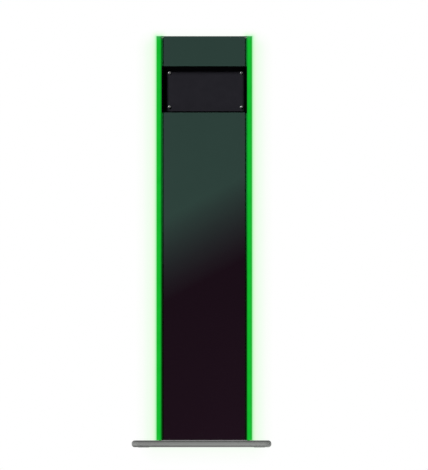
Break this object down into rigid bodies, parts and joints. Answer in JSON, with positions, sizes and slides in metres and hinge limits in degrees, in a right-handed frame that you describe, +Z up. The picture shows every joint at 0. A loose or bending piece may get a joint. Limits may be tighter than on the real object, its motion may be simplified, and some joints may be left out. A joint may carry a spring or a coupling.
{
  "type": "customer pole display",
  "caption": "Slim black display column on a flat grey base plate, with lit green edge bars, a recessed display window near its top and a hinged service door behind.",
  "frame": {"origin": "on the counter, under the middle of the base plate", "axes": "+Z up the column, the display faces -Y, +X to the right of someone facing the display"},
  "size_m": [0.279, 0.2, 0.821],
  "materials": {
    "base_paint": "fine matt grey powder coat",
    "pad_rubber": "moulded black rubber",
    "plated_steel": "zinc plated",
    "anodised_black": "satin black anodised extrusion",
    "panel_gloss": "polished black acrylic, back printed",
    "foam_tape": "foam mounting tape",
    "lit_opal": "opal diffuser lit green from inside",
    "flex_board": "white flexible circuit with light chips",
    "stainless": "machined stainless steel",
    "tray_black": "matt black moulding",
    "window_smoked": "smoked acrylic",
    "module_glass": "unlit display glass in a black frame",
    "circuit_board": "green solder mask",
    "cable_jacket": "black cable jacket",
    "ribbon_jacket": "grey ribbon cable",
    "door_paint": "black textured powder coat",
    "black_plastic": "black moulded plastic",
    "button_cap": "grey moulded plastic"
  },
  "bodies": {
    "stand": {"base_plate": "base_paint", "base_pad_1": "pad_rubber", "base_pad_2": "pad_rubber", "base_pad_3": "pad_rubber", "base_pad_4": "pad_rubber", "base_bolt_1": "plated_steel", "base_bolt_2": "plated_steel", "base_bolt_3": "plated_steel", "base_bolt_4": "plated_steel", "column_extrusion": "anodised_black", "front_panel_lower": "panel_gloss", "front_panel_upper": "panel_gloss", "panel_tape_lower_left": "foam_tape", "panel_tape_upper_left": "foam_tape", "panel_tape_lower_right": "foam_tape", "panel_tape_upper_right": "foam_tape", "light_diffuser_left": "lit_opal", "light_diffuser_right": "lit_opal", "led_strip_left": "flex_board", "led_strip_right": "flex_board", "top_cap": "anodised_black", "top_cap_screw_1": "stainless", "top_cap_screw_2": "stainless", "top_cap_screw_3": "stainless", "top_cap_screw_4": "stainless", "display_tray": "tray_black", "display_window": "window_smoked", "display_screw_1": "stainless", "display_screw_2": "stainless", "display_screw_3": "stainless", "display_screw_4": "stainless", "display_module": "module_glass", "display_board": "circuit_board", "equipment_plate": "plated_steel", "controller_board": "circuit_board", "power_lead": "cable_jacket", "data_lead": "cable_jacket", "led_lead_left": "cable_jacket", "led_lead_right": "cable_jacket", "display_ribbon": "ribbon_jacket", "hinge_leaf_fixed_lower": "plated_steel", "hinge_pin_lower": "stainless", "hinge_leaf_fixed_upper": "plated_steel", "hinge_pin_upper": "stainless", "lock_keeper": "plated_steel", "io_plate": "door_paint", "power_inlet": "black_plastic", "power_inlet_nut": "plated_steel", "power_switch_body": "black_plastic", "mode_button_body": "black_plastic", "data_socket": "black_plastic"},
    "door": {"service_door": "door_paint", "hinge_leaf_door_lower": "plated_steel", "hinge_leaf_door_upper": "plated_steel", "lock_body": "plated_steel", "lock_nut": "plated_steel"},
    "lock": {"lock_cylinder": "stainless", "lock_cam": "plated_steel"},
    "rocker": {"power_switch_rocker": "black_plastic"},
    "button": {"mode_button": "button_cap"}
  },
  "joints": [
    {"name": "door_hinge", "type": "hinge", "parent": "stand", "child": "door", "pos_m": [-0.075, 0.0339, 0.443], "axis": [0, 0, 1], "range_deg": [0, 170]},
    {"name": "lock_turn", "type": "hinge", "parent": "door", "child": "lock", "pos_m": [0.0635, 0.0241, 0.444], "axis": [0, 1, 0], "range_deg": [0, 90]},
    {"name": "rocker_tilt", "type": "hinge", "parent": "stand", "child": "rocker", "pos_m": [-0.0125, 0.029, 0.058], "axis": [-1, 0, 0], "range_deg": [0, 20]},
    {"name": "button_press", "type": "slide", "parent": "stand", "child": "button", "axis": [0, -1, 0], "range_m": [0, 0.0012], "stiffness_N_per_m": 800, "springref_m": -0.0005}
  ]
}
